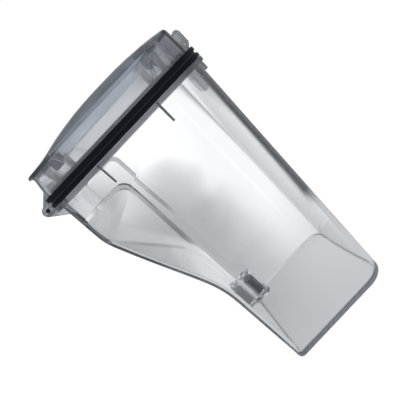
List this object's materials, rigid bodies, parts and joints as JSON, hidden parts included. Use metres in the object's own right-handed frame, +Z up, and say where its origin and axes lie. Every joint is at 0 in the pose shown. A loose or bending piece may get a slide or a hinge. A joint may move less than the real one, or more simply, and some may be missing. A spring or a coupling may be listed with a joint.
{
  "type": "clean water tank",
  "caption": "Clear water tank with a hinged smoky lid, press latch, rubber rim gasket, side wing with finger recesses, and a spring-loaded outlet valve in one floor corner.",
  "frame": {"origin": "middle of the base's underside: middle of its width and depth, on the surface it stands on", "axes": "+Z up; +X towards the latch, -X towards the wing and the lid's hinge; -Y is the front"},
  "size_m": [0.1287, 0.1096, 0.205],
  "materials": {
    "clear_plastic": "clear moulded plastic, polished",
    "smoky_plastic": "smoky see-through moulded plastic, polished",
    "black_plastic": "black moulded plastic",
    "black_rubber": "satin black rubber",
    "navy_rubber": "satin dark blue rubber",
    "steel": "bright drawn wire and pin stock",
    "dark_steel": "blackened screws",
    "filter_felt": "pressed white felt"
  },
  "bodies": {
    "tank": {"tank_body": "clear_plastic", "outlet_valve_cage": "clear_plastic", "outlet_spring": "steel", "port_gasket": "black_rubber", "hinge_pins": "steel"},
    "valve": {"outlet_plunger": "black_plastic", "outlet_seal": "black_rubber"},
    "lid": {"lid_shell": "smoky_plastic", "lid_plate": "smoky_plastic", "lid_gasket": "black_rubber", "lid_screws": "dark_steel", "latch_pin": "steel", "latch_spring": "steel", "vent_valve": "navy_rubber", "vent_filter": "filter_felt", "vent_retainer": "smoky_plastic"},
    "latch": {"latch_lever": "smoky_plastic"}
  },
  "joints": [
    {"name": "lid_hinge", "type": "hinge", "parent": "tank", "child": "lid", "pos_m": [-0.0714, 0, 0.1767], "axis": [0, -1, 0], "range_deg": [0, 100]},
    {"name": "latch_press", "type": "hinge", "parent": "lid", "child": "latch", "pos_m": [0.0501, 0, 0.1854], "axis": [0, -1, 0], "range_deg": [-3, 8], "stiffness_Nm_per_rad": 0.6, "deforming": ["latch_spring"]},
    {"name": "outlet_lift", "type": "slide", "parent": "tank", "child": "valve", "axis": [0, 0, 1], "range_m": [0, 0.003], "stiffness_N_per_m": 180, "springref_m": -0.002, "deforming": ["outlet_spring"]}
  ]
}
